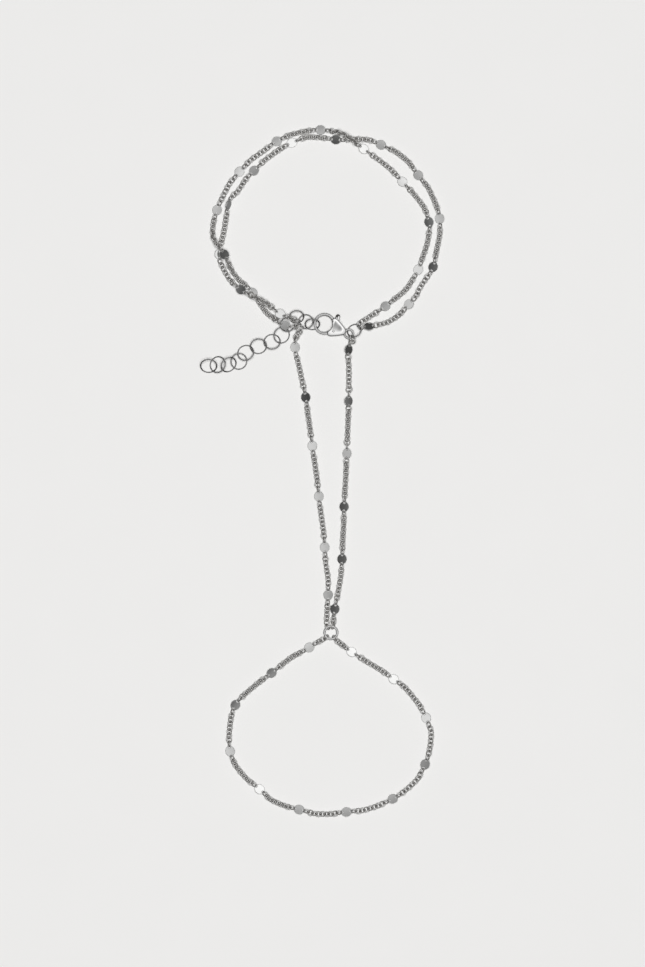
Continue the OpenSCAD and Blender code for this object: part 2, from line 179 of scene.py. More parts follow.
def silverWearAndShadeGroup():
    tree = bpy.data.node_groups.new("silverWear", "ShaderNodeTree")
    addSockets(tree, "INPUT", [
        ("Tone", "Color", (0.8, 0.8, 0.78, 1)), ("Tarnish", "Color", (0.2, 0.19, 0.17, 1)),
        ("Mottle Scale", "Float", 600.0), ("Mottle", "Float", 0.3), ("Crevice", "Float", 0.0),
        ("Scratch Scale", "Float", 4000.0), ("Scuffing", "Float", 0.06),
        ("Polish", "Float", 0.1), ("Dulling", "Float", 0.2)])
    addSockets(tree, "OUTPUT", [
        ("Color", "Color", None), ("Roughness", "Float", None), ("Height", "Float", None)])
    given = addNode(tree, "NodeGroupInput").outputs
    place = addNode(tree, "ShaderNodeTexCoord").outputs["Object"]
    mottle = addNode(tree, "ShaderNodeTexNoise",
                     {"Vector": place, "Scale": given["Mottle Scale"], "Detail": 5, "Roughness": 0.6})
    patches = addNode(tree, "ShaderNodeMapRange", {"Value": mottle.outputs["Fac"], "From Min": 0.45,
                                                   "From Max": 0.75, "To Max": given["Mottle"]},
                      interpolation_type="SMOOTHSTEP")
    # tarnish patches plus the mesh's own darkening: patina inside the links, and on the clasp also painted
    # shade along its edges
    wornAndShaded = addNode(tree, "ShaderNodeMath", {0: patches.outputs["Result"], 1: given["Crevice"]},
                   operation="ADD", use_clamp=True)
    colour = addNode(tree, "ShaderNodeMix", {"Factor": wornAndShaded.outputs["Value"]}, data_type="RGBA")
    tree.links.new(given["Tone"], colour.inputs[6])
    tree.links.new(given["Tarnish"], colour.inputs[7])
    turned = addNode(tree, "ShaderNodeMapping", {"Vector": place, "Rotation": (0.4, 0.2, 0.6),
                                                 "Scale": (1, 0.08, 0.3)})
    scratches = addNode(tree, "ShaderNodeTexNoise",
                        {"Vector": turned.outputs["Vector"], "Scale": given["Scratch Scale"],
                         "Detail": 6, "Roughness": 0.7})
    dull = addNode(tree, "ShaderNodeMath",
                   {0: wornAndShaded.outputs["Value"], 1: given["Dulling"], 2: given["Polish"]},
                   operation="MULTIPLY_ADD")
    scuffed = addNode(tree, "ShaderNodeMath",
                      {0: scratches.outputs["Fac"], 1: given["Scuffing"], 2: dull.outputs["Value"]},
                      operation="MULTIPLY_ADD", use_clamp=True)
    addNode(tree, "NodeGroupOutput", {"Color": colour.outputs[2], "Roughness": scuffed.outputs["Value"],
                                      "Height": scratches.outputs["Fac"]})
    return tree


silverWear = silverWearAndShadeGroup()


def silver(name, values, scratchDepth):
    finish = bpy.data.materials.new(name)
    finish.use_nodes = True
    tree = finish.node_tree
    metal = tree.nodes["Principled BSDF"]
    metal.inputs["Metallic"].default_value = 1
    wearAndShade = addNode(tree, "ShaderNodeGroup", node_tree=silverWear)
    for label, value in values.items():
        wearAndShade.inputs[label].default_value = value
    # the mesh's darkening: patina inside the links; on the clasp, patina and painted shade along the claw and
    # the eye
    crevice = addNode(tree, "ShaderNodeAttribute", attribute_name="crevice")
    tree.links.new(crevice.outputs["Fac"], wearAndShade.inputs["Crevice"])
    bump = addNode(tree, "ShaderNodeBump",
                   {"Height": wearAndShade.outputs["Height"], "Strength": 1, "Distance": scratchDepth})
    tree.links.new(wearAndShade.outputs["Color"], metal.inputs["Base Color"])
    tree.links.new(wearAndShade.outputs["Roughness"], metal.inputs["Roughness"])
    tree.links.new(bump.outputs["Normal"], metal.inputs["Normal"])
    return finish


chainSilver = silver("chainSilver", {
    "Tone": (0.98, 0.97, 0.95, 1), "Tarnish": (0.55, 0.53, 0.5, 1),
    "Mottle": 0.12, "Mottle Scale": 700, "Polish": 0.2, "Dulling": 0.2}, 2e-6)
discSilver = silver("discSilver", {
    "Tone": (0.88, 0.88, 0.87, 1), "Tarnish": (0.5, 0.48, 0.45, 1),
    "Mottle": 0.15, "Mottle Scale": 900, "Polish": 0.05, "Dulling": 0.1}, 6e-7)
# the rings' tone is painted far darker than the other silver, as painted shade for the dark edges of their
# thin wire
ringSilver = silver("ringSilver", {
    "Tone": (0.42, 0.415, 0.41, 1), "Tarnish": (0.12, 0.115, 0.11, 1),
    "Mottle": 0.2, "Mottle Scale": 800, "Polish": 0.09, "Dulling": 0.15}, 1.5e-6)
claspSilver = silver("claspSilver", {
    "Tone": (0.97, 0.965, 0.96, 1), "Tarnish": (0.1, 0.095, 0.09, 1),
    "Mottle": 0.1, "Mottle Scale": 500, "Polish": 0.07, "Dulling": 0.15}, 1.5e-6)
print("finishes made")


# Fine chain of round links, each turned a quarter from the last

chain = {
    "linkDiameter": 0.0021, "wire": 0.00037, "linkSides": 14, "wireSides": 6,
    "endLinkThick": 0.000407,   # the solids' links on rings are thinner than this, and their strands thicker
    "pitch": 0.00126,           # furthest that two linked links can stand apart
    "closest": 0.00108,         # and as near as links of the same lean can lie
    "strandRest": 0.00075,      # height of a strand's middle on the table
    "lugAt": 0.00134,           # from a disc's middle to the wire that pulls on its lug
    "lean": 45, "settle": 2.0,  # a run's links lean both ways this much, so many links away from its ends
    "hang": 25, "swing": 25,    # how far the link in a lug leans over and swings round towards its run
    "wobble": 5, "seed": 11,
    # degrees that discs are tipped further than the solids, so that they catch the light as the real ones do
    "tips": {
        "wrist_discs_inner": {3: -0.8, 5: 2.3, 6: 2.1, 9: -1.6, 10: -2.3, 11: -2.5},
        "wrist_discs_outer": {6: -0.6, 11: -1.5},
        "hand_discs_right": {4: -1}, "hand_discs_left": {5: 0.8},
        "palm_discs": {7: 1.95, 8: 0.9},
    },
    # a strand's second link, where it hangs clear of the clasp's eye: its place and axis
    "besideEye": {"hand_chain_right": ((0.00864, 0.03777, 0.00212), (-0.29, -0.53, 0.8))},
}
linkRadius = (chain["linkDiameter"] - chain["wire"]) / 2

# The solids' routes in metres, with a little more room where strands cross: place and lift above rest.
# A row of two is a disc.
routes = {
    "wrist_chain_outer": [  # outer wrist strand, from the eye ring round to the junction ring
        (0.0135, 0.04205), (0.0163, 0.0424, 0), (0.0196, 0.0436, 0), (0.023, 0.0458, 0),
        (0.0251, 0.0485), (0.0276, 0.0509, 0), (0.0284, 0.0534, 0), (0.0302, 0.0561, 0),
        (0.0321, 0.0593), (0.0329, 0.0634, 0), (0.034, 0.0683, 0),
        (0.034, 0.0733), (0.033, 0.0774, 0), (0.0308, 0.0821, 0),
        (0.0278, 0.0859), (0.0249, 0.0898, 0), (0.0212, 0.0927, 0),
        (0.017, 0.0947), (0.0133, 0.0963, 0), (0.0092, 0.0964, 0), (0.0063, 0.096, 0),
        (0.0039, 0.0962), (-0.0004, 0.0968, 0), (-0.0047, 0.0969, 0),
        (-0.0088, 0.0953), (-0.0126, 0.0934, 0), (-0.0166, 0.0903, 0),
        (-0.0198, 0.0872), (-0.0226, 0.0844, 0), (-0.0246, 0.0811, 0), (-0.0263, 0.0795, 0.0001),
        (-0.0272, 0.0773), (-0.0278, 0.0738, 0), (-0.0286, 0.0692, 0), (-0.0292, 0.0666, 0),
        (-0.0299, 0.063), (-0.0291, 0.0593, 0), (-0.0269, 0.0557, 0),
        (-0.0236, 0.0527), (-0.0208, 0.051, 0.0018), (-0.0191, 0.0502, 0.002),
        (-0.0173, 0.0494, 0.0019), (-0.0149, 0.048, 0.0012),
        (-0.0122, 0.0457), (-0.0094, 0.0444, 0.00175),
    ],
    "wrist_chain_inner": [  # inner wrist strand, the same way round
        (0.0126, 0.0441, 0), (0.0155, 0.046, 0),
        (0.0183, 0.0479), (0.0212, 0.0503, 0), (0.0241, 0.0526, 0), (0.0264, 0.0555, 0),
        (0.0278, 0.0585), (0.029, 0.0616, 0), (0.0304, 0.066, 0), (0.0313, 0.0695, 0),
        (0.0309, 0.0723), (0.0296, 0.0764, 0), (0.0264, 0.0806, 0),
        (0.0232, 0.084), (0.0196, 0.0878, 0), (0.0156, 0.0909, 0),
        (0.012, 0.0935), (0.0083, 0.0963, 0.002), (0.0056, 0.0979, 0.0017), (0.0027, 0.0986, 0.0005),
        (-0.0005, 0.099), (-0.0047, 0.0987, 0), (-0.0089, 0.0977, 0),
        (-0.0132, 0.0957), (-0.0168, 0.0931, 0), (-0.0207, 0.0903, 0),
        (-0.024, 0.0869), (-0.0269, 0.0834, 0), (-0.0294, 0.079, 0),
        (-0.0305, 0.0758), (-0.0315, 0.0724, 0), (-0.0318, 0.0695, 0.0003), (-0.0313, 0.0671, 0.0016),
        (-0.0301, 0.0655, 0.0024),
        (-0.0284, 0.0629), (-0.0271, 0.0597, 0), (-0.025, 0.0565, 0), (-0.0223, 0.0536, 0),
        (-0.0202, 0.0518), (-0.0188, 0.049, 0), (-0.0163, 0.0462, 0), (-0.0145, 0.0447, 0),
        (-0.0108, 0.0424),
    ],
    "hand_chain_left": [  # left hand strand, from the junction ring down to the palm ring
        (-0.0073, 0.0401, 0.00045), (-0.0079, 0.0389, 0.0001),
        (-0.0079, 0.036), (-0.0069, 0.0312, 0), (-0.0058, 0.0261, 0),
        (-0.0048, 0.0215), (-0.0042, 0.0168, 0), (-0.0035, 0.012, 0),
        (-0.0029, 0.0074), (-0.0022, 0.0026, 0), (-0.0015, -0.0023, 0),
        (-0.001, -0.0072), (-0.0004, -0.012, 0), (0.0003, -0.017, 0),
        (0.0007, -0.022), (0.001, -0.0265, 0), (0.0017, -0.0312, 0),
        (0.0017, -0.0358), (0.0014, -0.0405, 0),
    ],
    "hand_chain_right": [  # right hand strand, from the eye ring down to the palm ring
        (0.0076, 0.0353), (0.0077, 0.0304, 0), (0.0077, 0.0254, 0),
        (0.0076, 0.0204), (0.0075, 0.0154, 0), (0.0073, 0.0103, 0),
        (0.0071, 0.0052), (0.0069, 0.0001, 0), (0.0066, -0.0051, 0),
        (0.0063, -0.0102), (0.0062, -0.0152, 0), (0.0059, -0.0203, 0),
        (0.0057, -0.0254), (0.0054, -0.0302, 0), (0.0046, -0.0349, 0),
        (0.0036, -0.0399), (0.0032, -0.0425, 0),
    ],
    "palm_chain": [  # palm loop, from the palm ring round and back to it
        (-0.0014, -0.0491, 0),
        (-0.0038, -0.051), (-0.0066, -0.0526, 0), (-0.0089, -0.0539, 0), (-0.0117, -0.056, 0),
        (-0.0147, -0.0584), (-0.0182, -0.061, 0), (-0.022, -0.0642, 0),
        (-0.0252, -0.0677), (-0.0265, -0.0718, 0), (-0.027, -0.0764, 0),
        (-0.0267, -0.0811), (-0.025, -0.0854, 0), (-0.0217, -0.0893, 0),
        (-0.0182, -0.0921), (-0.015, -0.0951, 0), (-0.0108, -0.0971, 0),
        (-0.0067, -0.098), (-0.0023, -0.0992, 0), (0.0025, -0.0993, 0),
        (0.007, -0.0987), (0.0115, -0.0983, 0), (0.0162, -0.0969, 0),
        (0.0204, -0.0949), (0.024, -0.0927, 0), (0.0275, -0.0893, 0),
        (0.0298, -0.0849), (0.0312, -0.0809, 0), (0.0316, -0.0758, 0),
        (0.0301, -0.0714), (0.0277, -0.0671, 0), (0.024, -0.0626, 0),
        (0.0207, -0.0602), (0.0167, -0.0574, 0), (0.0125, -0.0549, 0),
        (0.0085, -0.0523), (0.0057, -0.0506, 0),
    ],
}


def finishTree(tree, geometry, given):
    real = addNode(tree, "GeometryNodeRealizeInstances", {"Geometry": geometry})
    dressed = addNode(tree, "GeometryNodeSetMaterial", {"Geometry": real.outputs["Geometry"],
                                                        "Material": given["Finish"]})
    addNode(tree, "NodeGroupOutput", {"Geometry": dressed.outputs["Geometry"]})


def turnOnRun(tree):  # a piece's Z along its axis, its X along its run
    axis = addNode(tree, "GeometryNodeInputNamedAttribute", {"Name": "axis"}, data_type="FLOAT_VECTOR")
    run = addNode(tree, "GeometryNodeInputNamedAttribute", {"Name": "run"}, data_type="FLOAT_VECTOR")
    return addNode(tree, "FunctionNodeAxesToRotation",
                   {"Primary Axis": axis.outputs["Attribute"], "Secondary Axis": run.outputs["Attribute"]},
                   primary_axis="Z", secondary_axis="X").outputs["Rotation"]


def linkTree():
    tree = bpy.data.node_groups.new("roundLinks", "GeometryNodeTree")
    addSockets(tree, "INPUT", [
        ("Geometry", "Geometry", None), ("Link Radius", "Float", 0.00085), ("Wire Radius", "Float", 0.0002),
        ("Link Sides", "Int", 14), ("Wire Sides", "Int", 6), ("Wobble", "Float", 0.1), ("Seed", "Int", 1),
        ("Finish", "Material", None)])
    addSockets(tree, "OUTPUT", [("Geometry", "Geometry", None)])
    given = addNode(tree, "NodeGroupInput").outputs
    ring = addNode(tree, "GeometryNodeCurvePrimitiveCircle", {"Resolution": given["Link Sides"],
                                                              "Radius": given["Link Radius"]})
    section = addNode(tree, "GeometryNodeCurvePrimitiveCircle", {"Resolution": given["Wire Sides"],
                                                                 "Radius": given["Wire Radius"]})
    link = addNode(tree, "GeometryNodeCurveToMesh", {"Curve": ring.outputs["Curve"],
                                                     "Profile Curve": section.outputs["Curve"]})
    # Tarnish gathers inside the link, where its neighbours rub
    place = addNode(tree, "GeometryNodeInputPosition")
    reach = addNode(tree, "ShaderNodeVectorMath", {0: place.outputs["Position"]}, operation="LENGTH")
    inner = addNode(tree, "ShaderNodeMath", {0: given["Link Radius"], 1: reach.outputs["Value"]},
                    operation="SUBTRACT")
    share = addNode(tree, "ShaderNodeMath", {0: inner.outputs["Value"], 1: given["Wire Radius"]},
                    operation="DIVIDE", use_clamp=True)
    marked = addNode(tree, "GeometryNodeStoreNamedAttribute",
                     {"Geometry": link.outputs["Mesh"], "Name": "crevice", "Value": share.outputs["Value"]},
                     data_type="FLOAT", domain="POINT")
    smooth = addNode(tree, "GeometryNodeSetShadeSmooth", {"Geometry": marked.outputs["Geometry"]})
    least = addNode(tree, "ShaderNodeMath", {0: given["Wobble"], 1: -1.0}, operation="MULTIPLY")
    wobble = addNode(tree, "FunctionNodeRandomValue", {"Seed": given["Seed"]}, data_type="FLOAT")
    tree.links.new(least.outputs["Value"], wobble.inputs[2])
    tree.links.new(given["Wobble"], wobble.inputs[3])
    slack = addNode(tree, "GeometryNodeInputNamedAttribute", {"Name": "slack"}, data_type="FLOAT")
    angle = addNode(tree, "ShaderNodeMath", {0: wobble.outputs[1], 1: slack.outputs["Attribute"]},
                    operation="MULTIPLY")
    roll = addNode(tree, "FunctionNodeAxisAngleToRotation",
                   {"Axis": (1, 0, 0), "Angle": angle.outputs["Value"]})
    turn = addNode(tree, "FunctionNodeRotateRotation",
                   {"Rotation": turnOnRun(tree), "Rotate By": roll.outputs["Rotation"]},
                   rotation_space="LOCAL")
    links = addNode(tree, "GeometryNodeInstanceOnPoints",
                    {"Points": given["Geometry"], "Instance": smooth.outputs["Geometry"],
                     "Rotation": turn.outputs["Rotation"]})
    finishTree(tree, links.outputs["Instances"], given)
    return tree


def smoothPath(points, leaving, arriving, steps=16):  # dense points of a curve through the given ones
    ways = [leaving]
    ways += [(b - a).normalized() for a, b in zip(points, points[2:])]
    ways.append(arriving)
    path = []
    for a, b, wayA, wayB in zip(points, points[1:], ways, ways[1:]):
        reach = (b - a).length
        for step in range(steps):
            s = step / steps
            path.append(a * (2*s**3 - 3*s**2 + 1) + wayA * reach * (s**3 - 2*s**2 + s)
                        + b * (3*s**2 - 2*s**3) + wayB * reach * (s**3 - s**2))
    return path + [points[-1]]


def evenly(path, taut):
    # places of the links on a path, as many as fit, pulled taut where an end is on a ring
    path = np.array(path)
    along = np.concatenate([[0], np.cumsum(np.linalg.norm(np.diff(path, axis=0), axis=1))])
    low, high = chain["pitch"] * taut[0], along[-1] - chain["pitch"] * taut[1]
    if high - low < chain["closest"]:
        taut, low, high = (0, 0), 0, along[-1]
    count = max(math.floor((high - low) / chain["closest"]), math.ceil((high - low) / chain["pitch"]))
    stops = [0] * taut[0] + list(np.linspace(low, high, count + 1)) + [along[-1]] * taut[1]
    return [Vector(p) for p in np.stack([np.interp(stops, along, path[:, k]) for k in range(3)], axis=1)]


def leanOf(axis, run):  # turn of a link's axis about its run, from level, in degrees
    level = run.cross(up).normalized()
    return math.degrees(math.atan2(axis.dot(level.cross(run)), axis.dot(level)))


def leaning(run, lean):
    level = run.cross(up).normalized()
    return level * math.cos(math.radians(lean)) + level.cross(run) * math.sin(math.radians(lean))


def nearest(angle, target, turn):  # the same angle, give or take whole turns, nearest to the target
    return angle + round((target - angle) / turn) * turn


def leans(first, last, hangs, count, side):
    # leans of a stretch's links, each a quarter on from the last, easing from its ends to its middle
    final = last - 90 * ((count - 1) % 2)
    if count < 2 * chain["settle"]:
        final = nearest(final, first, 180)
        twist = final - first
        first += math.copysign(min(hangs[0], abs(twist) / 2), twist)
        final -= math.copysign(min(hangs[1], abs(twist) / 2), twist)
        base = [first + (final - first) * i / max(count - 1, 1) for i in range(count)]
    else:
        middle = nearest(chain["lean"], first + side, 90)
        final = nearest(final, middle, 180)
        first += math.copysign(hangs[0], middle - first)
        final += math.copysign(hangs[1], middle - final)
        fades = [max(0, 1 - i / chain["settle"]) for i in range(count)]
        base = [middle + (first - middle) * start + (final - middle) * end
                for start, end in zip(fades, reversed(fades))]
    return [angle + 90 * (i % 2) for i, angle in enumerate(base)]


def endOfStretch(stop, points):  # the link at a disc's lug or on a ring, as its place, way out and axis
    if not stop["isDisc"]:
        ahead = points[0] - stop["place"]
        return stop["place"], (ahead - stop["axis"] * ahead.dot(stop["axis"])).normalized(), stop["axis"]
    run = stop["run"] if stop["run"].dot(points[0] - stop["place"]) > 0 else -stop["run"]
    lug = stop["place"] + run * chain["lugAt"]
    ahead = next((p for p in points if (p - lug).length > chain["linkDiameter"]), points[-1]) - lug
    swing = math.atan2(ahead.dot(stop["axis"].cross(run)), ahead.dot(run))
    most = math.radians(chain["swing"])
    way = Matrix.Rotation(min(most, max(-most, swing)), 3, stop["axis"]) @ run
    return lug + way * linkRadius, way, way.cross(stop["axis"]).normalized()


def stretchLinks(start, points, end, side):
    first, leaving, firstAxis = endOfStretch(start, points + [end["place"]])
    last, back, lastAxis = endOfStretch(end, points[::-1] + [start["place"]])
    if (last - first).length < chain["wire"]:  # one link hangs on both
        return [{"place": (first + last) / 2, "run": leaving, "axis": firstAxis}]
    clear = [p for p in points if min((p - first).length, (p - last).length) > chain["linkDiameter"]]
    taut = [not stop["isDisc"] for stop in (start, end)]
    centres = evenly(smoothPath([first] + clear + [last], leaving, -back), taut)
    runs = [leaving] + [(b - a).normalized() for a, b in zip(centres, centres[2:])] + [-back]
    hangs = [chain["hang"] if stop["isDisc"] else 0 for stop in (start, end)]
    turns = leans(leanOf(firstAxis, leaving), leanOf(lastAxis, -back), hangs, len(centres), side)
    spots = []
    for centre, run, lean in zip(centres, runs, turns):
        axis = leaning(run, lean)
        low = linkRadius * math.sqrt(1 - axis.z**2) + chain["wire"] / 2
        spots.append({"place": Vector((centre.x, centre.y, max(centre.z, low))), "run": run, "axis": axis,
                      "slack": 0 < len(spots) < len(centres) - 1})
    return spots


def tipped(found, degrees):  # a disc leaning further the way that it leans
    turn = Matrix.Rotation(math.radians(degrees), 3, up.cross(found["axis"]))
    return dict(found, run=turn @ found["run"], axis=turn @ found["axis"])


def nearestTo(row, solids):
    return min(solids, key=lambda found: (found["place"].xy - Vector(row[:2])).length)


def chainStops(chainNode, discNode):  # the chain's stops in order, with the points of each stretch between
    discs = [lying(part) for part in looseParts(discNode)]
    links = [found for found in map(lying, looseParts(chainNode)) if found["size"][2] < chain["endLinkThick"]]
    rows = routes[chainNode]
    stops = [dict(nearestTo(rows[0], links), isDisc=False)]
    stretches, points = [], []
    for row in rows:
        if len(row) == 3:
            points.append(Vector((row[0], row[1], row[2] + chain["strandRest"])))
        else:
            tip = chain["tips"].get(discNode, {}).get(len(stops) - 1, 0)
            stops.append(dict(tipped(nearestTo(row, discs), tip), isDisc=True))
            stretches.append(points)
            points = []
    stops.append(dict(nearestTo(rows[-1], links), isDisc=False))
    return stops, stretches + [points]


strands = {"wrist_chain_outer": "wrist_discs_outer", "wrist_chain_inner": "wrist_discs_inner",
           "hand_chain_left": "hand_discs_left", "hand_chain_right": "hand_discs_right",
           "palm_chain": "palm_discs"}
roundLinks = linkTree()
draw = random.Random(chain["seed"])
allStops = {}
for chainNode, discNode in strands.items():
    stops, stretches = chainStops(chainNode, discNode)
    allStops[discNode] = [stop for stop in stops if stop["isDisc"]]
    spots = []
    for start, points, end in zip(stops, stretches, stops[1:]):
        spots += stretchLinks(start, points, end, draw.choice((-1, 1)))
    if chainNode in chain["besideEye"]:
        place, axis = chain["besideEye"][chainNode]
        spots[1].update(place=Vector(place), axis=Vector(axis).normalized(), slack=False)
    piece = placed(chainNode + "_links", spots, roundLinks, {
        "Link Radius": linkRadius, "Wire Radius": chain["wire"] / 2, "Link Sides": chain["linkSides"],
        "Wire Sides": chain["wireSides"], "Wobble": math.radians(chain["wobble"]), "Seed": chain["seed"],
        "Finish": chainSilver})
    dress(piece, "bracelet", chainNode)
    print(chainNode, "has", len(spots), "links")


# Flat discs with a lug at each end, stamped from sheet, slightly domed, their edges tumbled round

disc = {
    "radius": 0.00133, "halfLength": 0.00148, "thickness": 0.00032,
    "lugAt": 0.00124, "lugRadius": 0.00053, "hole": 0.000375,
    "dome": 0.000006, "edge": 0.00005, "edgeSteps": 2, "sides": 48, "holeSides": 16,
    "sharp": 60,                              # edges that turn by more degrees than this are tumbled
    "level": 0.98,                            # a flat face's normal stands more upright than this
    "inHole": 0.97,                           # faces with their middle in this share of a hole are left out
    "merge": 1e-9,                            # corners nearer than this become one
    "rings": [(0, 1), (0.3, 8), (0.55, 14)],  # inner corners of its face: share of the radius, how many
}


def discOutline():  # oval body with a round ear at each end
    outline = []
    for a in np.linspace(0, 2 * math.pi, disc["sides"], endpoint=False):
        long, across = abs(math.cos(a)), abs(math.sin(a))
        oval = math.hypot(disc["radius"] * long, disc["halfLength"] * across)
        reach = disc["halfLength"] * disc["radius"] / oval
        spare = disc["lugRadius"]**2 - (disc["lugAt"] * across)**2
        if spare > 0:
            reach = max(reach, disc["lugAt"] * long + math.sqrt(spare))
        outline.append((reach * math.cos(a), reach * math.sin(a)))
    return outline


def inHole(points):
    middle = sum(points, Vector((0, 0))) / len(points)
    return math.hypot(abs(middle.x) - disc["lugAt"], middle.y) < disc["inHole"] * disc["hole"]


def discMesh():
    loops = [discOutline()]
    for side in (-1, 1):
        loops.append([(side * disc["lugAt"] + disc["hole"] * math.cos(a), disc["hole"] * math.sin(a))
                      for a in np.linspace(0, 2 * math.pi, disc["holeSides"], endpoint=False)])
    corners, edges = [], []
    for loop in loops:
        n = len(corners)
        corners += [Vector(p) for p in loop]
        edges += [(n + k, n + (k + 1) % len(loop)) for k in range(len(loop))]
    corners += [Vector((share * disc["radius"] * math.cos(a), share * disc["radius"] * math.sin(a)))
                for share, count in disc["rings"] for a in np.linspace(0, 2 * math.pi, count, endpoint=False)]
    flat, _, faces, _, _, _ = geometry.delaunay_2d_cdt(corners, edges, [], 1, disc["merge"])
    faces = [face for face in faces if not inHole([flat[k] for k in face])]
    mesh = bmesh.new()
    falls = [disc["dome"] * min(1, (p.length / disc["radius"])**2) for p in flat]
    top, bottom = [
        [mesh.verts.new((p.x, p.y, side * (disc["thickness"] / 2 - fall))) for p, fall in zip(flat, falls)]
        for side in (1, -1)]
    used = {(a, b) for face in faces for a, b in zip(face, face[1:] + face[:1])}
    for face in faces:
        mesh.faces.new([top[k] for k in face])
        mesh.faces.new([bottom[k] for k in reversed(face)])
    for a, b in used:
        if (b, a) not in used:
            mesh.faces.new([top[b], top[a], bottom[a], bottom[b]])
    mesh.normal_update()
    rim = [edge for edge in mesh.edges if edge.calc_face_angle(0) > math.radians(disc["sharp"])
           and abs(edge.verts[0].co.z - edge.verts[1].co.z) < disc["edge"]]
    rounded = bmesh.ops.bevel(mesh, geom=rim, offset=disc["edge"], segments=disc["edgeSteps"],
                              affect="EDGES", profile=0.5)["faces"]
    mesh.normal_update()
    for face in mesh.faces:
        face.smooth = True
    for edge in mesh.edges:  # the flat faces keep their own shading up to the rounded edge
        plain = [face for face in edge.link_faces if face not in rounded]
        meetsFlat = any(abs(face.normal.z) > disc["level"] for face in plain)
        edge.smooth = len(plain) == len(edge.link_faces) or not meetsFlat
    return madeFrom("disc", mesh)


def discTree():
    tree = bpy.data.node_groups.new("stampedDiscs", "GeometryNodeTree")
    addSockets(tree, "INPUT", [
        ("Geometry", "Geometry", None), ("Disc", "Object", None), ("Finish", "Material", None)])
    addSockets(tree, "OUTPUT", [("Geometry", "Geometry", None)])
    given = addNode(tree, "NodeGroupInput").outputs
    piece = addNode(tree, "GeometryNodeObjectInfo", {"Object": given["Disc"]})
    discs = addNode(tree, "GeometryNodeInstanceOnPoints",
                    {"Points": given["Geometry"], "Instance": piece.outputs["Geometry"],
                     "Rotation": turnOnRun(tree)})
    finishTree(tree, discs.outputs["Instances"], given)
    return tree


oneDisc = discMesh()
stampedDiscs = discTree()
for discNode, spots in allStops.items():
    piece = placed(discNode + "_stamped", spots, stampedDiscs, {"Disc": oneDisc, "Finish": discSilver})
    dress(piece, "bracelet", discNode)
bpy.data.objects.remove(oneDisc)
print("discs made")


# Jump rings and the extender's rings, round wire with a fine cut where each was closed

jumpRing = {"sides": 56, "wireSides": 12, "cut": 0.00005, "seed": 5}


def ringTree():
    tree = bpy.data.node_groups.new("jumpRings", "GeometryNodeTree")
    addSockets(tree, "INPUT", [
        ("Geometry", "Geometry", None), ("Ring Radius", "Float", 0.002), ("Wire Radius", "Float", 0.0002),
        ("Ring Sides", "Int", 56), ("Wire Sides", "Int", 12), ("Cut", "Float", 0.00005),
        ("Finish", "Material", None)])
    addSockets(tree, "OUTPUT", [("Geometry", "Geometry", None)])
    given = addNode(tree, "NodeGroupInput").outputs
    cut = addNode(tree, "ShaderNodeMath", {0: given["Cut"], 1: given["Ring Radius"]}, operation="DIVIDE")
    sweep = addNode(tree, "ShaderNodeMath", {0: 2 * math.pi, 1: cut.outputs["Value"]}, operation="SUBTRACT")
    arc = addNode(tree, "GeometryNodeCurveArc",
                  {"Resolution": given["Ring Sides"], "Radius": given["Ring Radius"],
                   "Sweep Angle": sweep.outputs["Value"]})
    section = addNode(tree, "GeometryNodeCurvePrimitiveCircle", {"Resolution": given["Wire Sides"],
                                                                 "Radius": given["Wire Radius"]})
    wire = addNode(tree, "GeometryNodeCurveToMesh", {"Curve": arc.outputs["Curve"], "Fill Caps": True,
                                                     "Profile Curve": section.outputs["Curve"]})
    edges = addNode(tree, "GeometryNodeInputMeshEdgeAngle")
    sharp = addNode(tree, "ShaderNodeMath", {0: edges.outputs["Unsigned Angle"], 1: 1.0},
                    operation="GREATER_THAN")
    smooth = addNode(tree, "GeometryNodeSetShadeSmooth", {"Geometry": wire.outputs["Mesh"]})
    creased = addNode(tree, "GeometryNodeSetShadeSmooth", {"Geometry": smooth.outputs["Geometry"],
                                                           "Selection": sharp.outputs["Value"],
                                                           "Shade Smooth": False}, domain="EDGE")
    rings = addNode(tree, "GeometryNodeInstanceOnPoints",
                    {"Points": given["Geometry"], "Instance": creased.outputs["Geometry"],
                     "Rotation": turnOnRun(tree)})
    finishTree(tree, rings.outputs["Instances"], given)
    return tree


jumpRings = ringTree()
draw = random.Random(jumpRing["seed"])
ringNodes = [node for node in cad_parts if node.endswith("_ring") or node.startswith("extender_")]
for node in sorted(ringNodes):
    spot = lying(looseParts(node)[0])
    outside, wire = spot["size"][0], spot["size"][2]
    spot["run"] = Matrix.Rotation(draw.uniform(0, 2 * math.pi), 3, spot["axis"]) @ spot["run"]
    piece = placed(node + "_wire", [spot], jumpRings, {
        "Ring Radius": (outside - wire) / 2, "Wire Radius": wire / 2, "Ring Sides": jumpRing["sides"],
        "Wire Sides": jumpRing["wireSides"], "Cut": jumpRing["cut"],
        "Finish": claspSilver if node == "palm_ring" else ringSilver})
    dress(piece, "bracelet", node)
print("rings made")


# Lobster clasp. Its own frame has the eye at the origin and the claw along +X.

